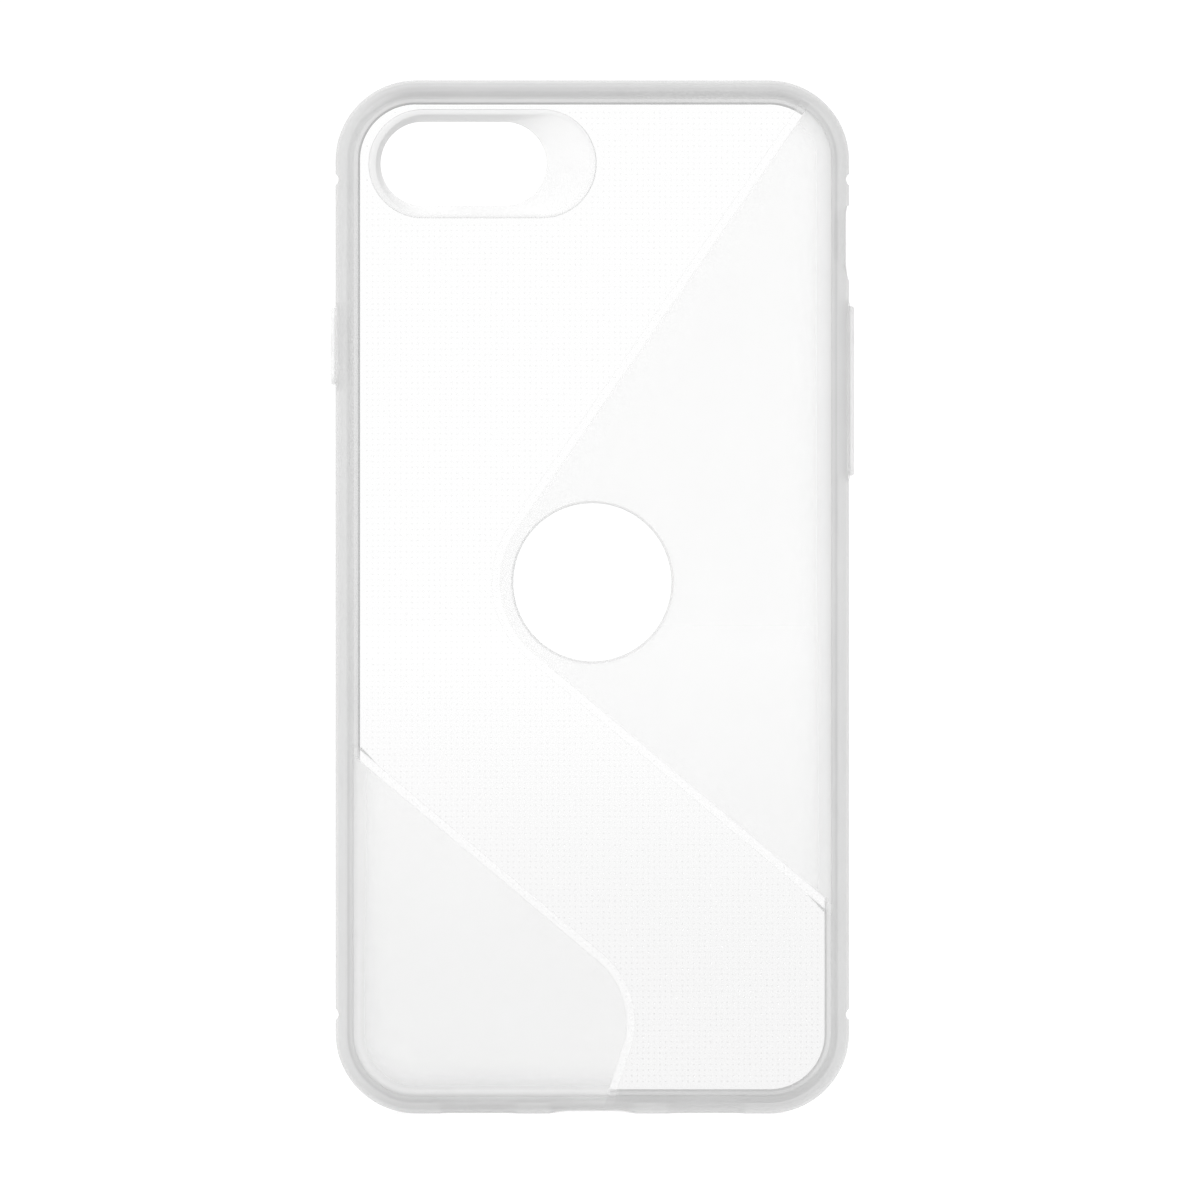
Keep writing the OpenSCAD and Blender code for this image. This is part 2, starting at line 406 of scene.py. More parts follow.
def mirror_share(nodes, links, ior):
    """Fresnel share of a surface that passes light straight on, the same from both sides."""
    side = nodes.new("ShaderNodeNewGeometry")
    index = nodes.new("ShaderNodeMapRange")
    index.inputs["To Min"].default_value = ior
    index.inputs["To Max"].default_value = 1.0 / ior
    links.new(side.outputs["Backfacing"], index.inputs["Value"])
    share = nodes.new("ShaderNodeFresnel")
    links.new(index.outputs["Result"], share.inputs["IOR"])
    return share.outputs[0]


def mixed(nodes, links, share, first, second):
    mix = nodes.new("ShaderNodeMixShader")
    links.new(share, mix.inputs[0])
    links.new(first, mix.inputs[1])
    links.new(second, mix.inputs[2])
    return mix.outputs[0]


def polished(name, tint, body_grey, haze_top, foot_haze_and_shade):
    """Clear plastic: see-through, with a faint body and a glossy reflection."""
    material, nodes, links = blank_material(name)
    clear = nodes.new("ShaderNodeBsdfTransparent")
    clear.inputs["Color"].default_value = grey(tint)
    body = nodes.new("ShaderNodeBsdfDiffuse")
    body.inputs["Color"].default_value = grey(body_grey)
    gloss = nodes.new("ShaderNodeBsdfGlossy")
    gloss.inputs["Color"].default_value = grey(0.95)
    gloss.inputs["Roughness"].default_value = 0.06
    # The body share grows towards the bottom as painted shade
    haze = haze_and_shade_down(nodes, links, haze_top, foot_haze_and_shade)
    hazy = mixed(nodes, links, haze, clear.outputs[0], body.outputs[0])
    surface = mixed(nodes, links, mirror_share(nodes, links, PLASTIC_IOR), hazy, gloss.outputs[0])
    out = nodes.new("ShaderNodeOutputMaterial")
    links.new(surface, out.inputs["Surface"])
    return material


# The grain of each plastic, as (noise scale, depth in millimetres)
SMOOTH_GRAIN = (500.0, 0.01)
FROST_GRAIN = (3500.0, 0.008)
RING_GRAIN = (2500.0, 0.004)
COVER_GRAIN = (2500.0, 0.008)

FRAME_MAT = milky("frame_tpu", 0.62, 0.66, 0.5, roughness=0.28, grain_of=SMOOTH_GRAIN)
OPENING_MAT = milky("opening_tpu", 0.62, 0.66, 0.15, roughness=0.28, grain_of=SMOOTH_GRAIN)
FROST_MAT = milky("frosted_tpu", 0.75, 0.77, 0.4, roughness=0.55, grain_of=FROST_GRAIN)
RING_MAT = milky("surround_tpu", 0.9, 0.93, 0.85, roughness=0.5, grain_of=RING_GRAIN, through=0.2)
COVER_MAT = milky("cover_tpu", 0.84, 0.88, 0.75, roughness=0.5, grain_of=COVER_GRAIN)
CLEAR_MAT = polished("clear_tpu", tint=1.0, body_grey=0.3, haze_top=0.045, foot_haze_and_shade=0.165)
BEVEL_MAT = polished("bevel_tpu", tint=1.0, body_grey=0.98, haze_top=0.02, foot_haze_and_shade=0.09)
# Painted shade: a greyer clear plastic for the dark lines along both edges of a welt
EDGE_SHADE_MAT = polished("bevel_edge_shade_tpu", tint=0.975, body_grey=0.6, haze_top=0.06, foot_haze_and_shade=0.06)
DOT_MAT = polished("dot_tpu", tint=0.965, body_grey=0.4, haze_top=0.04, foot_haze_and_shade=0.07)


# ---- Bumper frame ----


def edge_centre(y, r):
    """Centre of a rounded edge that touches the crown of the wall and the plane at y."""
    dy = math.copysign(abs(y) - r, y)
    return CROWN_R - math.sqrt((CROWN_R - r) ** 2 - dy * dy), dy


def angle_on_crown(c):
    """Where a rounded edge with this centre meets the crown, as an angle about its centre."""
    return math.degrees(math.atan2(c[1], c[0] - CROWN_R)) % 360


def wall_section(raised):
    """Section of the rim as (distance in from the outer edge, y).

    The ledge along the inner edge is raised beside the clear band, and low where a frosted skin
    lies over it.
    """
    front = edge_centre(FRONT_Y, FRONT_R)
    back = edge_centre(BACK_Y, BACK_R)
    a_front, a_back = angle_on_crown(front), angle_on_crown(back)
    a_ledge = 360 - math.degrees(math.acos((LEDGE_D - back[0]) / BACK_R))
    under = (WALL_T + LIP_UNDER_R, SCREEN_Y - LIP_UNDER_R)
    under_end = math.degrees(math.acos((LIP_REACH - under[0]) / LIP_UNDER_R))
    points = arc(LIP_REACH - LIP_R, FRONT_Y - LIP_R, LIP_R, 0, 90, 5)
    points += arc(front[0], front[1], FRONT_R, 90, a_front, 7)[:-1]
    points += arc(CROWN_R, 0, CROWN_R, a_front, a_back, 22)[:-1]
    points += arc(back[0], back[1], BACK_R, a_back, a_ledge, 16)
    ledge_y = BAND_Y + (BACK_Y - BAND_Y) * raised
    step = 0.22 * raised + 0.02
    points += [(LEDGE_D + 0.02, ledge_y + 0.03 * raised), (back[0], ledge_y)]
    points += [(RIM_W - step - 0.06, ledge_y), (RIM_W - step, ledge_y), (RIM_W, BAND_Y + 0.005)]
    points += arc(RIM_W, FLOOR_Y + POCKET_R, POCKET_R, 270, 180, 8)
    points += arc(under[0], under[1], LIP_UNDER_R, 180, under_end, 7)
    return points


def coarse_stations():
    """Stations round the outside as (x, z, outward x, outward z) on a path CORNER_R inside it."""
    stations = []
    cx, cz = HALF_W - CORNER_R, HALF_H - CORNER_R
    for quarter, (sx, sz) in enumerate(((1, 1), (-1, 1), (-1, -1), (1, -1))):
        stations += [(sx * cx, sz * cz, *unit(90 * quarter + 90 * i / 28)) for i in range(29)]
        across = quarter % 2 == 0
        steps = int(2 * (cx if across else cz) / 1.2)
        for i in range(1, steps):
            t = 1 - 2 * i / steps
            if across:
                stations.append((sx * t * cx, sz * cz, 0, sz))
            else:
                stations.append((sx * cx, sz * t * cz, sx, 0))
    return stations


def station_inset(station):
    """How far the inner edge of the rim lies inside the clear band at a station."""
    x, z, ux, uz = station
    reach = CORNER_R - RIM_W + 0.5
    return band_distance(x + ux * reach, z + uz * reach)


def ledge_height(inset):
    """Share of its full height that the ledge has: a little less under the end of a welt."""
    return 0.75 * smoothstep(0.0, 0.15, inset) + 0.25 * smoothstep(1.2, 1.4, inset)


def fine_stations():
    """The stations, set closer together where the ledge rises."""
    coarse = coarse_stations()
    stations = []
    for a, b in zip(coarse, coarse[1:] + coarse[:1]):
        low, high = sorted((station_inset(a), station_inset(b)))
        parts = 8 if high > -0.4 and low < 1.9 else 1
        for i in range(parts):
            t = i / parts
            x, z, ux, uz = (u + (v - u) * t for u, v in zip(a, b))
            size = math.hypot(ux, uz)
            stations.append((x, z, ux / size, uz / size))
    return stations


def frame_rings():
    """The section of the rim at every station."""
    rings = []
    for station in fine_stations():
        x, z, ux, uz = station
        raised = ledge_height(station_inset(station))
        section = wall_section(raised)
        rings.append([(x + ux * (CORNER_R - d), y, z + uz * (CORNER_R - d)) for d, y in section])
    return rings


# Painted light and shade on the outside of the rim, such as the dark line at the step of the ledge and
# the light line where the inner wall is seen edge on, as (distance in from the outer edge, tone)
SIDE_LIGHT_AND_SHADE = (
    (0.0, 0.93), (1.25, 0.92), (1.4, 0.9), (1.55, 1.02), (1.7, 0.96), (1.9, 0.92), (2.2, 0.99),
    (2.42, 1.02), (2.5, 1.0), (3.0, 0.98), (3.12, 0.94), (3.17, 0.7), (3.5, 0.7),
)
TOP_LIGHT_AND_SHADE = (
    (0.0, 0.83), (0.4, 0.84), (0.8, 0.85), (1.0, 0.76), (1.3, 0.66), (1.7, 0.71), (2.1, 0.77),
    (2.3, 0.84), (2.5, 0.97), (3.0, 1.0), (3.12, 0.95), (3.17, 0.68), (3.5, 0.68),
)
BOTTOM_LIGHT_AND_SHADE = (
    (0.0, 0.84), (0.4, 0.82), (0.8, 0.77), (1.1, 0.69), (1.4, 0.7), (1.9, 0.79), (2.3, 0.87),
    (2.6, 0.77), (2.9, 0.74), (3.1, 0.78), (3.17, 0.66), (3.5, 0.66),
)
# Painted light and shade on the rim under a frosted skin, as (distance in from the outer edge, tone)
SIDE_FROST_LIGHT_AND_SHADE = (
    (0.0, 0.92), (1.5, 0.92), (1.6, 0.97), (1.75, 0.86), (1.9, 0.88), (2.05, 0.97),
    (2.3, 1.03), (2.5, 1.06),
)
END_FROST_LIGHT_AND_SHADE = (
    (0.0, 0.92), (0.5, 0.9), (0.8, 0.72), (1.2, 0.73), (1.6, 0.86), (1.9, 0.96),
    (2.2, 1.02), (2.5, 1.12),
)
# Cover of the rim under a frosted skin, as (distance in from the outer edge, cover)
FROST_COVER = ((0.0, 1.0), (2.2, 1.0), (2.5, 0.6), (3.4, 0.1))


def end_share(x, z):
    """0 on the long sides, 1 on the short ends, and between them round a corner."""
    qx, qz = abs(x) - (HALF_W - CORNER_R), abs(z) - (HALF_H - CORNER_R)
    if qx > 0 and qz > 0:
        return qz * qz / (qx * qx + qz * qz)
    return 1.0 if qz > qx else 0.0


def side_opening(node):
    """The stretch of the side wall that the window of a button takes up, along Z."""
    low, high = box_mm(node)
    return low.z - 0.3, high.z + 0.3


SWITCH_Z = mount("ring_switch_slot")["pos_m"][2] / MM
POWER_Z = sum(side_opening("power_button_web")) / 2
SIDE_OPENINGS = (
    (side_opening("power_button_web"),),
    (side_opening("volume_button_web"), (SWITCH_Z - 6.2, SWITCH_Z + 4.8)),
)


def mouth_shade(d, along, reach):
    """1 at the inner mouth of a side opening, falling to 0 round it."""
    across = smoothstep(1.4, 1.6, d) * (1 - smoothstep(1.95, 2.3, d))
    return across * (1 - smoothstep(0.45 * reach, reach, abs(along)))


def frame_light_and_shade(x, y, z):
    """Painted light and shade on the outside of the rim, as a tone. The inside, behind y = -2, stays
    plain.
    """
    d = edge_distance(x, z)
    if y > -2.0 and d > 1.4:
        return 1.0
    ends = end_share(x, z)
    raised = ledge_height(band_distance(x, z))
    end_tone = table(TOP_LIGHT_AND_SHADE if z > 0 else BOTTOM_LIGHT_AND_SHADE, d)
    clear = table(SIDE_LIGHT_AND_SHADE, d) * (1 - ends) + end_tone * ends
    frost = table(SIDE_FROST_LIGHT_AND_SHADE, d) * (1 - ends) + table(END_FROST_LIGHT_AND_SHADE, d) * ends
    tone = clear * raised + frost * (1 - raised)
    if x > 0:
        tone -= 0.2 * mouth_shade(d, z - SWITCH_Z, 4.6)
    else:
        tone -= 0.1 * mouth_shade(d, z - POWER_Z, 6.5)
    # Painted light: a little lighter on the right, and on the short ends darker at the top and lighter
    # at the bottom
    tone *= 0.985 + 0.03 * x / HALF_W - ends * (0.03 + 0.06 * z / HALF_H)
    return tone + (1.0 - tone) * smoothstep(-3.4, -2.6, y)


def inside_opening(face):
    """Whether a face is on the wall of an opening, and so not along the side it goes through."""
    x, y, z = face.center / MM
    if abs(y) > 3.2:
        return False
    if z < RIM_W - HALF_H:
        return abs(face.normal.z) < 0.7 and (abs(x) < 6.3 or 10.0 < abs(x) < 21.2)
    if abs(x) < HALF_W - RIM_W or abs(face.normal.x) > 0.7:
        return False
    for low, high in SIDE_OPENINGS[x > 0]:
        if low < z < high:
            return True
    return False


def frame_cover(x, y, z):
    """Thinner under a frosted skin, and denser on the steep inner edge of the ledge, which paints the
    shade of its dark line.
    """
    d = edge_distance(x, z)
    raised = ledge_height(band_distance(x, z))
    clear = 1.0 if d < 3.14 or y > -4.0 else 1.5
    frost = table(FROST_COVER, d) if y < -2.0 else 1.0
    return clear * raised + frost * (1 - raised)


def side_cutter(side, z, length, height):
    """A slot through a side wall, wider beyond the outer face."""
    rings = []
    for dx, grow in ((-4.0, 0.0), (0.0, 0.0), (3.0, 0.5)):
        outline = stadium(0, z, length + 2 * grow, height + 2 * grow, upright=True)
        rings.append(on_side(outline, side * (HALF_W + dx)))
    return loft("cutter", rings)


def switch_cutter(length, height, ramp):
    """The opening for the switch, flared a little at the outer face, with a ramp below it."""
    rings = []
    half = WALL_T / 2
    for dx, grow, drop in ((-4.0, 0, 0), (-half, 0, 0), (0.0, 0.15, ramp), (3.0, 0.15, ramp)):
        outline = rounded_rect(height / 2 + grow, (length + drop) / 2 + grow, 1.2 + grow)
        z = SWITCH_Z - drop / 2
        rings.append(on_side([(a, z + b) for a, b in outline], HALF_W + dx))
    return loft("cutter", rings)


def bottom_cutter(x, width, height, flare=0.25):
    """A slot through the bottom wall, with its mouth flared at the outer face."""
    rings = []
    for dz, grow in ((4.0, 0.0), (flare, 0.0), (0.0, flare), (-2.0, flare)):
        outline = stadium(x, 0, width + 2 * grow, height + 2 * grow)
        rings.append([(u, v, dz - HALF_H) for u, v in outline])
    return loft("cutter", rings)


def groove_cutter(side, z, width=1.6, depth=0.45):
    """A round groove across the outside of a side wall."""
    r = (width * width / 4 + depth * depth) / (2 * depth)
    outline = arc(side * (HALF_W - depth + r), z, r, 0, 350, 35)
    return prism("cutter", outline, BACK_Y - 3, FRONT_Y + 3)


def box_centre(node):
    """Centre and size of a node's box."""
    low, high = box_mm(node)
    return (low + high) / 2, high - low


def make_frame():
    obj = loft("bumper_frame_body", frame_rings(), wrap=True)
    cutters = []
    for node, side in (("power_button_web", -1), ("volume_button_web", 1)):
        centre, size = box_centre(node)
        cutters.append(side_cutter(side, centre.z, size.z, size.y))
    cutters.append(switch_cutter(*SWITCH_SIZE, SWITCH_RAMP))
    cutters.append(bottom_cutter(0, *PORT_SIZE))
    cutters.append(bottom_cutter(-SOUND_X, *SOUND_SIZE))
    cutters.append(bottom_cutter(SOUND_X, *SOUND_SIZE))
    for side in (-1, 1):
        for z in (-GROOVE_Z, GROOVE_Z):
            cutters.append(groove_cutter(side, z))
    cut(obj, cutters)
    paint(obj, "paint_tone_and_shade", frame_light_and_shade)
    paint(obj, "paint_cover", frame_cover)
    materials = [FRAME_MAT, OPENING_MAT]
    finish_piece(obj, materials, nodes=["bumper_frame"], angle=28)
    for face in obj.data.polygons:
        face.material_index = 1 if inside_opening(face) else 0
    return obj


# ---- Back plate and frosted zones ----


def logo_circle(grow, y):
    steps = 96
    return on_back(arc(LOGO_X, LOGO_Z, LOGO_R + grow, 0, 360 - 360 / steps, steps - 1), y)


def logo_cutter(grow):
    return loft("cutter", [logo_circle(grow, FLOOR_Y + 1), logo_circle(grow, BACK_Y - 1)])


def make_logo_lip():
    """The rounded edge of the frosted skin round the round window."""
    foot = BAND_Y - GAP
    rings = [logo_circle(LOGO_LIP, foot), logo_circle(0.0, foot)]
    for i in range(6):
        ux, uy = unit(18 * i)
        rings.append(logo_circle(LOGO_LIP * (1 - ux), foot + (BACK_Y - foot) * (0.4 + 0.6 * uy)))
    obj = loft("logo_window_lip", rings, wrap=True)
    # Painted shade: the lip is a little darker and denser, for the dark line round the window
    paint(obj, "paint_tone_and_shade", lambda x, y, z: 0.95)
    paint(obj, "paint_cover", lambda x, y, z: 1.3)
    return finish_piece(obj, [FROST_MAT], angle=60)


def surround_shape(grow=0.0):
    low, high = SURROUND_LOW, SURROUND_HIGH
    centre = (low + high) / 2
    return stadium(centre.x, centre.z, high.x - low.x + 2 * grow, high.z - low.z + 2 * grow)


def make_back_plate():
    outline = rounded_rect(HALF_W - RIM_W, HALF_H - RIM_W, CORNER_R - RIM_W)
    obj = prism("clear_back_plate", outline, BAND_Y, FLOOR_Y)
    hole = prism("cutter", surround_shape(), BAND_Y - 1, FLOOR_Y + 1)
    cut(obj, [hole, logo_cutter(0.0)])
    return finish_piece(obj, [CLEAR_MAT], nodes=["back_plate"])


def zone_path(zone):
    """The edge of a frosted zone as (x, z, outward x, outward z), run far past both ends."""
    cx, cz, r, a0, a1 = zone
    path = []
    for i in range(61):
        ux, uz = unit(a0 + (a1 - a0) * i / 60)
        path.append((cx + r * ux, cz + r * uz, ux, uz))
    for end, turn, at in ((path[0], a0 - 90, 0), (path[-1], a1 + 90, len(path) + 1)):
        tx, tz = unit(turn)
        path.insert(at, (end[0] + FAR * tx, end[1] + FAR * tz, end[2], end[3]))
    return path


def inner_outline(inset):
    return rounded_rect(HALF_W - inset, HALF_H - inset, CORNER_R - inset, 40)


# Spacing of the points that the tones of a frosted skin are painted on
GRID_STEP = 0.8


def frost_grid(obj):
    """Splits the large faces, so that tones can be painted on them."""
    bm = bmesh.new()
    bm.from_mesh(obj.data)
    for axis, half in ((0, HALF_W), (2, HALF_H)):
        count = int(half / GRID_STEP)
        for i in range(-count, count + 1):
            plane = Vector((0, 0, 0))
            plane[axis] = i * GRID_STEP * MM
            normal = Vector((0, 0, 0))
            normal[axis] = 1
            geometry = bm.verts[:] + bm.edges[:] + bm.faces[:]
            bmesh.ops.bisect_plane(bm, geom=geometry, plane_co=plane, plane_no=normal, dist=1e-7)
    bm.to_mesh(obj.data)
    bm.free()


def frost_painted_shade(x, y, z):
    """Painted shade: a little darker towards the wall."""
    ends = end_share(x, z)
    near = 1 - smoothstep(2.0, 7.0 + 1.5 * ends, edge_distance(x, z))
    return 1.0 - (0.09 + 0.04 * ends) * near * near


def frost_cover(x, y, z):
    """Denser towards the wall, a painted shade from it, and a little thinner lower down."""
    near = 1 - smoothstep(2.0, 9.0, edge_distance(x, z))
    drop = smoothstep(-0.2 * HALF_H, HALF_H, -z)
    return 0.4 - 0.1 * drop + 0.75 * near * near


def make_frosted(name, node, zone, far_points, logo):
    """A frosted skin: the outline of its zone, closed by far points, within the ledge."""
    outline = [(x, z) for x, z, ux, uz in zone_path(zone)] + far_points
    obj = prism(name, outline, BACK_Y, BAND_Y - GAP)
    cut(obj, [prism("cutter", inner_outline(LEDGE_D + 0.03), BACK_Y - 1, FLOOR_Y)], "INTERSECT")
    if logo:
        cut(obj, [logo_cutter(LOGO_LIP)])
    frost_grid(obj)
    paint(obj, "paint_tone_and_shade", frost_painted_shade)
    paint(obj, "paint_cover", frost_cover)
    return finish_piece(obj, [FROST_MAT], nodes=[node], angle=25)


def make_welt(name, zone):
    """The clear bevel along the edge of a frosted skin."""
    rings = []
    for x, z, ux, uz in zone_path(zone):
        section = [(GAP, BAND_Y - GAP), (GAP, BACK_Y + 0.005), (0.1, BACK_Y + 0.02)]
        section += [(BEVEL_W - 0.14, BAND_Y - 0.05), (BEVEL_W, BAND_Y - GAP)]
        rings.append([(x + ux * d, y, z + uz * d) for d, y in section])
    obj = loft(name, rings)
    cut(obj, [prism("cutter", inner_outline(LEDGE_D + 0.05), BACK_Y - 1, FLOOR_Y)], "INTERSECT")
    finish_piece(obj, [BEVEL_MAT, EDGE_SHADE_MAT], angle=12)
    # The faces along both edges of the welt take the painted shade of its dark lines
    for face in obj.data.polygons:
        x, z = face.center.x / MM, face.center.z / MM
        out = zone_distance(x, z, zone)
        face.material_index = 0 if 0.12 < out < BEVEL_W - 0.16 else 1
    return obj


def make_tail(name, zone, angle, side):
    """A thin wedge of the wall that runs out along the foot of a welt."""
    cx, cz, r = zone[:3]
    ux, uz = unit(angle)
    tx, tz = abs(uz) * side, -abs(ux) * side * math.copysign(1, ux * uz)
    foot = r + BEVEL_W
    x_wall = side * (HALF_W - RIM_W + 0.1)
    along = (x_wall - cx - foot * ux) / tx
    at_wall = (cx + foot * ux + along * tx, cz + foot * uz + along * tz)
    tip = (at_wall[0] - 3.2 * tx, at_wall[1] - 3.2 * tz)
    wide = (at_wall[0] + 0.38 * ux, at_wall[1] + 0.38 * uz)
    low = on_back([at_wall, wide, tip], BAND_Y - GAP)
    # The outer outline is drawn in a little from the one on the plate
    corners = ((at_wall, wide), (wide, at_wall), (tip, at_wall))
    drawn_in = [(a * 0.8 + b * 0.2, c * 0.8 + d * 0.2) for (a, c), (b, d) in corners]
    obj = loft(name, [low, on_back(drawn_in, BACK_Y + 0.1)])
    paint(obj, "paint_tone_and_shade", lambda x, y, z: 0.95)
    paint(obj, "paint_cover", lambda x, y, z: 1.0)
    return finish_piece(obj, [FRAME_MAT], angle=20)


# ---- Camera surround ----


SURROUND_CENTRE = (SURROUND_LOW + SURROUND_HIGH) / 2
SURROUND_SIZE = SURROUND_HIGH - SURROUND_LOW
# Size of the camera window, along X and along Z
WINDOW_SIZE = (22.8, 11.6)
# Width of the flat rim of the surround at its four sides
RIM_LEFT, RIM_RIGHT, RIM_BOTTOM, RIM_TOP = 0.95, 0.25, 0.45, 0.65


def surround_ring(y, x, z, w, h):
    return on_back(stadium(x, z, w, h, steps=40), y)


def surround_ramp(x, z, w, h, foot):
    """Rings of the ramp, from the flat rim down to the camera window."""
    window_x = mount("camera_window")["pos_m"][0] / MM
    steps = 10
    rings = []
    for i in range(1, steps + 1):
        t = i / steps
        y = BACK_Y + 0.05 + (foot - BACK_Y - 0.05) * (1 - (1 - t) ** 1.25)
        ring_w = (w - 0.1) + (WINDOW_SIZE[0] - w + 0.1) * t
        ring_h = (h - 0.1) + (WINDOW_SIZE[1] - h + 0.1) * t
        place = (x + (window_x - x) * t, z + (SURROUND_CENTRE.z - z) * t)
        rings.append(surround_ring(y, *place, ring_w, ring_h))
    for y in (foot + 0.1, FLOOR_Y):
        size = (WINDOW_SIZE[0] - 0.12, WINDOW_SIZE[1] - 0.12)
        rings.append(surround_ring(y, window_x, SURROUND_CENTRE.z, *size))
    return rings


def surround_tone(x, y, z):
    """Darker at the upper left of the ramp, where it leans away from the light."""
    across = (x - SURROUND_CENTRE.x) / (SURROUND_SIZE.x / 2)
    up = (z - SURROUND_CENTRE.z) / (SURROUND_SIZE.z / 2)
    lean = max(up, 0.35 * up - 0.4 * across)
    shaded = smoothstep(0.1, 0.75, lean) * (1 - smoothstep(0.1, 0.75, across))
    depth = smoothstep(BACK_Y + 0.03, BACK_Y + 0.16, y)
    rim = 0.86 if y < BACK_Y + 0.13 else 0.89
    return rim - 0.14 * shaded * depth


def make_surround():
    cx, cz = SURROUND_CENTRE.x, SURROUND_CENTRE.z
    width, height = SURROUND_SIZE.x, SURROUND_SIZE.z
    ramp_x, ramp_z = cx + (RIM_LEFT - RIM_RIGHT) / 2, cz + (RIM_BOTTOM - RIM_TOP) / 2
    ramp_w, ramp_h = width - RIM_LEFT - RIM_RIGHT, height - RIM_BOTTOM - RIM_TOP
    rings = []
    outside = ((FLOOR_Y, GAP), (BAND_Y, GAP), (BACK_Y + 0.12, 0.1), (BACK_Y + 0.03, 0.2), (BACK_Y, 0.36))
    for y, less in outside:
        rings.append(surround_ring(y, cx, cz, width - less, height - less))
    for y, less in ((BACK_Y, -0.2), (BACK_Y + 0.05, 0.1)):
        rings.append(surround_ring(y, ramp_x, ramp_z, ramp_w - less, ramp_h - less))
    rings += surround_ramp(ramp_x, ramp_z, ramp_w, ramp_h, BAND_Y + 0.35)
    obj = loft("camera_surround_ring", rings, wrap=True)
    paint(obj, "paint_tone_and_shade", surround_tone)
    paint(obj, "paint_cover", lambda x, y, z: 1.0)
    return finish_piece(obj, [RING_MAT], nodes=["camera_surround"], angle=30)


# ---- Micro-dots ----


DOT_PITCH = 0.77
DOT_HEIGHT = 0.05
DOT_SIDES = 8
# Clearance of the dots from the wall and from the camera surround
DOT_MARGIN = 0.5


def dot_fits(x, z):
    """Whether a dot may stand here: in the clear band, off the wall and the camera surround."""
    if band_distance(x, z) < 0.35:
        return False
    corner = CORNER_R - RIM_W - DOT_MARGIN
    dx = max(0.0, abs(x) - (HALF_W - RIM_W - DOT_MARGIN - corner))
    dz = max(0.0, abs(z) - (HALF_H - RIM_W - DOT_MARGIN - corner))
    if math.hypot(dx, dz) > corner:
        return False
    reach_x = (SURROUND_SIZE.x - SURROUND_SIZE.z) / 2
    sx = max(0.0, abs(x - SURROUND_CENTRE.x) - reach_x)
    return math.hypot(sx, z - SURROUND_CENTRE.z) >= SURROUND_SIZE.z / 2 + DOT_MARGIN


def add_dot(verts, faces, x, z, r, circle):
    """One dome: a foot ring, a smaller ring near the top, and the top point."""
    base = len(verts)
    verts += [(x + r * u, FLOOR_Y - 0.004, z + r * v) for u, v in circle]
    verts += [(x + 0.6 * r * u, FLOOR_Y + 0.8 * DOT_HEIGHT, z + 0.6 * r * v) for u, v in circle]
    verts.append((x, FLOOR_Y + DOT_HEIGHT, z))
    for k in range(DOT_SIDES):
        m = (k + 1) % DOT_SIDES
        faces.append((base + k, base + m, base + DOT_SIDES + m, base + DOT_SIDES + k))
        faces.append((base + DOT_SIDES + k, base + DOT_SIDES + m, base + 2 * DOT_SIDES))


def make_dots():
    """Tiny domes on the inner face of the clear band."""
    verts, faces = [], []
    circle = [unit(360 * k / DOT_SIDES) for k in range(DOT_SIDES)]
    count_x = int((HALF_W - RIM_W - DOT_MARGIN) / DOT_PITCH)
    count_z = int((HALF_H - RIM_W - DOT_MARGIN) / DOT_PITCH)
    for i in range(-count_x, count_x + 1):
        for j in range(-count_z, count_z + 1):
            x, z = i * DOT_PITCH, j * DOT_PITCH
            if dot_fits(x, z):
                add_dot(verts, faces, x, z, random.uniform(0.105, 0.16), circle)
    obj = mesh_object("micro_dots", verts, faces)
    return finish_piece(obj, [DOT_MAT], angle=80)


# ---- Buttons ----


def button_outline(z, length, height, shrink):
    return stadium(0, z, length - 2 * shrink, height - 2 * shrink, upright=True)


def make_cover(name, node, side, body, marks):
    """A button cover with a rounded outer edge and engraved marks."""
    centre, size = box_centre(node)
    inner = centre.x - side * size.x / 2
    outer = centre.x + side * size.x / 2
    fillet = 0.38
    rings = []
    for depth, shrink in ((0.0, 0.12), (0.12, 0.0)):
        rings.append(on_side(button_outline(centre.z, size.z, size.y, shrink), inner + side * depth))
    for i in range(7):
        a = 90 * i / 6
        out = outer - side * fillet * (1 - math.sin(math.radians(a)))
        shrink = fillet * (1 - math.cos(math.radians(a)))
        rings.append(on_side(button_outline(centre.z, size.z, size.y, shrink), out))
    obj = loft(name, rings)
    cut(obj, marks(centre.z, outer, side))

    def in_mark(x, y, z):
        return abs(y) < 1.2 and abs(abs(outer - x) - MARK_DEPTH) < 0.02

    # Painted shade in the engraved marks: their floors are darker and denser
    paint(obj, "paint_tone_and_shade", lambda x, y, z: 0.8 if in_mark(x, y, z) else 1.0)
    paint(obj, "paint_cover", lambda x, y, z: 1.3 if in_mark(x, y, z) else 1.0)
    return finish_piece(obj, [COVER_MAT], body=body, nodes=[node], angle=32)


def engraving(outline, outer, side):
    """A cutter that sinks an outline into the outer face of a cover."""
    return loft("cutter", [on_side(outline, outer - side * MARK_DEPTH), on_side(outline, outer + side)])


def bar(z, y, height, width, outer, side):
    """A cutter for one engraved stroke, height along Z and width along Y."""
    if height >= width:
        outline = stadium(y, z, height, width, steps=6, upright=True)
    else:
        outline = stadium(y, z, width, height, steps=6)
    return engraving(outline, outer, side)


def power_marks(z, outer, side):
    """A broken ring with a stroke in its gap."""
    ring_r, line = 0.85, 0.38
    outline = arc(0, z, ring_r + line / 2, -235, 55, 40)
    outline += arc(0, z, ring_r - line / 2, 55, -235, 40)
    return [engraving(outline, outer, side), bar(z + 0.8, 0, 1.0, line, outer, side)]


def volume_marks(z, outer, side):
    """A plus near the upper end of the bar and a minus near its lower end."""
    centre, cover = box_centre("volume_button_cover")
    at = cover.z / 2 - 4.2
    size, line = 1.8, 0.4
    return [
        bar(z + at, 0, size, line, outer, side),
        bar(z + at, 0, line, size, outer, side),
        bar(z - at, 0, line, size, outer, side),
    ]


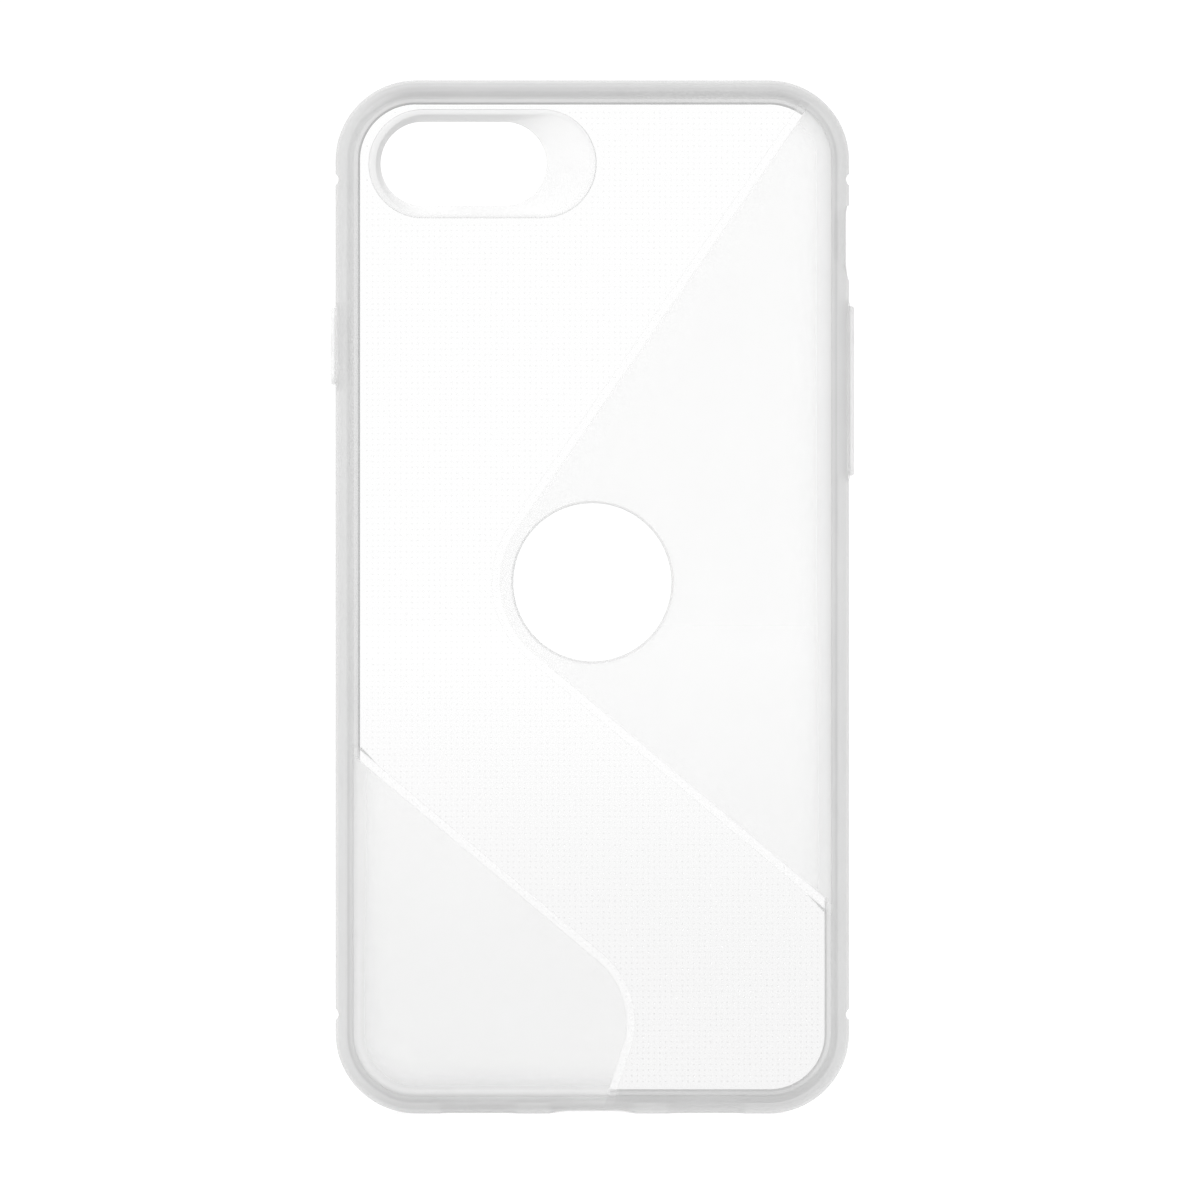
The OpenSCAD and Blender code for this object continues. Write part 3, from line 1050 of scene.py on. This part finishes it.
def make_web(name, node, cover, side):
    """A thin collar from the wall to the cover."""
    centre, size = box_centre(node)
    cover_size = box_centre(cover)[1]
    length, height = cover_size.z, cover_size.y
    thick, rise = 0.3, 0.14
    face = side * HALF_W
    outer_rings, inner_rings = [], []
    steps = 8
    for i in range(steps + 1):
        t = i / steps
        grow = 0.005 + (size.z - length) / 2 * (1 - t)
        outline = stadium(0, centre.z, length + 2 * grow, height + 2 * grow, upright=True)
        lift = rise * smoothstep(0.0, 1.0, t)
        top = []
        for y, z in outline:
            sag = CROWN_R - math.sqrt(CROWN_R**2 - y * y)
            top.append((face + side * (lift - sag * (1 - smoothstep(0, 1, t))), y, z))
        outer_rings.append(top)
        inner_rings.append([(x - side * thick, y, z) for x, y, z in top])
    obj = loft(name, outer_rings + inner_rings[::-1], wrap=True)
    paint(obj, "paint_tone_and_shade", lambda x, y, z: 1.08)
    paint(obj, "paint_cover", lambda x, y, z: 0.5)
    finish_piece(obj, [FRAME_MAT], body=None, nodes=[node], angle=60)
    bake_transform(obj)
    return obj


# ---- Stage ----


def make_floor():
    size, z = 40000.0, FRAME_LOW.z
    obj = mesh_object(
        "floor", [(-size, -size, z), (size, -size, z), (size, size, z), (-size, size, z)], [(0, 1, 2, 3)]
    )
    material, nodes, links = blank_material("floor_white")
    surface = nodes.new("ShaderNodeBsdfDiffuse")
    surface.inputs["Color"].default_value = grey(0.33)
    glow = nodes.new("ShaderNodeEmission")
    glow.inputs["Strength"].default_value = 0.75
    both = nodes.new("ShaderNodeAddShader")
    links.new(surface.outputs[0], both.inputs[0])
    links.new(glow.outputs[0], both.inputs[1])
    out = nodes.new("ShaderNodeOutputMaterial")
    links.new(both.outputs[0], out.inputs["Surface"])
    obj.data.materials.append(material)


def make_world():
    world = bpy.data.worlds.new("studio")
    bpy.context.scene.world = world
    world.use_nodes = True
    nodes, links = world.node_tree.nodes, world.node_tree.links
    nodes.clear()
    coords = nodes.new("ShaderNodeTexCoord")
    toward = nodes.new("ShaderNodeVectorMath")
    toward.operation = "DOT_PRODUCT"
    toward.inputs[1].default_value = (-0.55, -0.25, 0.8)
    links.new(coords.outputs["Generated"], toward.inputs[0])
    height = nodes.new("ShaderNodeMapRange")
    height.inputs["From Min"].default_value = -0.8
    height.inputs["From Max"].default_value = 1.0
    height.inputs["To Min"].default_value = 0.7
    height.inputs["To Max"].default_value = 1.1
    links.new(toward.outputs["Value"], height.inputs["Value"])
    seen = nodes.new("ShaderNodeLightPath")
    mix = nodes.new("ShaderNodeMix")
    mix.inputs["B"].default_value = 1.07
    links.new(seen.outputs["Is Camera Ray"], mix.inputs["Factor"])
    links.new(height.outputs["Result"], mix.inputs["A"])
    background = nodes.new("ShaderNodeBackground")
    background.inputs["Color"].default_value = grey(1.0)
    links.new(mix.outputs["Result"], background.inputs["Strength"])
    out = nodes.new("ShaderNodeOutputWorld")
    links.new(background.outputs[0], out.inputs["Surface"])


def area_light(name, place, target, size, power):
    light = bpy.data.lights.new(name, "AREA")
    light.shape = "DISK"
    light.size = size
    light.energy = power
    obj = bpy.data.objects.new(name, light)
    bpy.context.scene.collection.objects.link(obj)
    obj.location = place
    direction = Vector(target) - Vector(place)
    obj.rotation_euler = direction.to_track_quat("-Z", "Y").to_euler()
    return obj


def make_camera():
    """Straight on to the outside back, from far enough away to be nearly parallel."""
    distance = 2.6
    view_width = 0.16262
    camera = bpy.data.cameras.new("camera")
    camera.sensor_width = 36.0
    camera.lens = camera.sensor_width * distance / view_width
    camera.clip_start = 0.01
    camera.clip_end = 200.0
    obj = bpy.data.objects.new("camera", camera)
    bpy.context.scene.collection.objects.link(obj)
    obj.location = (0.00023, -distance, 0.0004)
    obj.rotation_euler = (math.radians(90), 0, 0)
    bpy.context.scene.camera = obj


# ---- Build ----

random.seed(7)
make_frame()
make_back_plate()
make_frosted("frosted_main_skin", "frosted_main_panel", MAIN_ZONE, [], True)
make_frosted("frosted_corner_skin", "frosted_corner_panel", CORNER_ZONE, [(-FAR, -FAR)], False)
make_logo_lip()
make_welt("main_welt", MAIN_ZONE)
make_welt("corner_welt", CORNER_ZONE)
make_tail("main_welt_tail", MAIN_ZONE, 230.0, 1)
make_tail("corner_welt_tail", CORNER_ZONE, 50.0, -1)
make_surround()
make_dots()
make_cover("power_cover", "power_button_cover", -1, "power_button", power_marks)
make_cover("volume_cover", "volume_button_cover", 1, "volume_button", volume_marks)
make_web("power_web_skin", "power_button_web", "power_button_cover", -1)
make_web("volume_web_skin", "volume_button_web", "volume_button_cover", 1)
make_floor()
make_world()
area_light("key", (-0.5, -0.7, 0.8), (0, 0, 0), 0.5, 6.0)
make_camera()
scene = bpy.context.scene
scene.view_settings.view_transform = "Standard"
scene.cycles.transparent_max_bounces = 48
scene.cycles.max_bounces = 16
